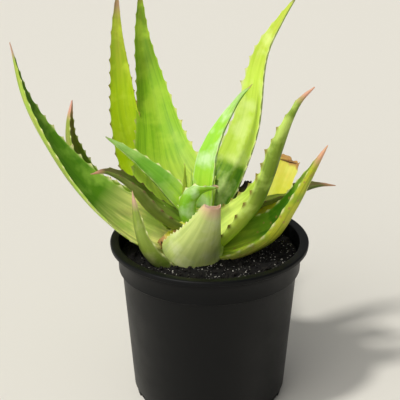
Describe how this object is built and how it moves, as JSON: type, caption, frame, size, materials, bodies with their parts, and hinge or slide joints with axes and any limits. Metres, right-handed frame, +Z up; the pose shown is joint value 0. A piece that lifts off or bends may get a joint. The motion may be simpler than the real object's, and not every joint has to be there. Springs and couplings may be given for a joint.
{
  "type": "potted aloe plant",
  "caption": "Young aloe with channelled, toothed leaves rising in a rosette from a short stem, in dark soil in a plain tapered nursery pot with a collar and lip.",
  "frame": {"origin": "centre of the pot's flat underside, on the pot's axis", "axes": "+Z up along the pot's axis, -Y towards the plant's front, +X to its right"},
  "size_m": [0.2101, 0.1654, 0.2622],
  "materials": {
    "leaf_fresh": "waxy satin leaf skin, yellow-green",
    "leaf_deep": "waxy satin leaf skin, mid green",
    "leaf_olive": "duller leaf skin, dark olive green",
    "leaf_yellow": "yellowed leaf skin",
    "leaf_dried": "dry, withered leaf",
    "stem": "pale green fibrous stem",
    "soil": "dark, rough potting soil",
    "pot": "injection-moulded black plastic with a soft sheen"
  },
  "bodies": {
    "root": {"leaf_front_cut": "leaf_fresh", "spear_left": "leaf_fresh", "spear_right": "leaf_fresh", "leaf_centre_curl": "leaf_fresh", "leaf_right_inner": "leaf_fresh", "leaf_right_upright": "leaf_fresh", "leaf_right_tall": "leaf_fresh", "leaf_right_low": "leaf_fresh", "leaf_back_left": "leaf_fresh", "leaf_front_thin": "leaf_fresh", "leaf_left_small": "leaf_fresh", "stub_front_upper": "leaf_fresh", "leaf_inner_left": "leaf_deep", "leaf_back_tall": "leaf_deep", "leaf_left_large": "leaf_deep", "leaf_left_arched": "leaf_olive", "leaf_right_arched": "leaf_olive", "leaf_right_broken": "leaf_yellow", "stub_front_lower": "leaf_yellow", "stub_back_right": "leaf_dried", "stem": "stem", "soil": "soil", "pot": "pot"}
  },
  "joints": []
}
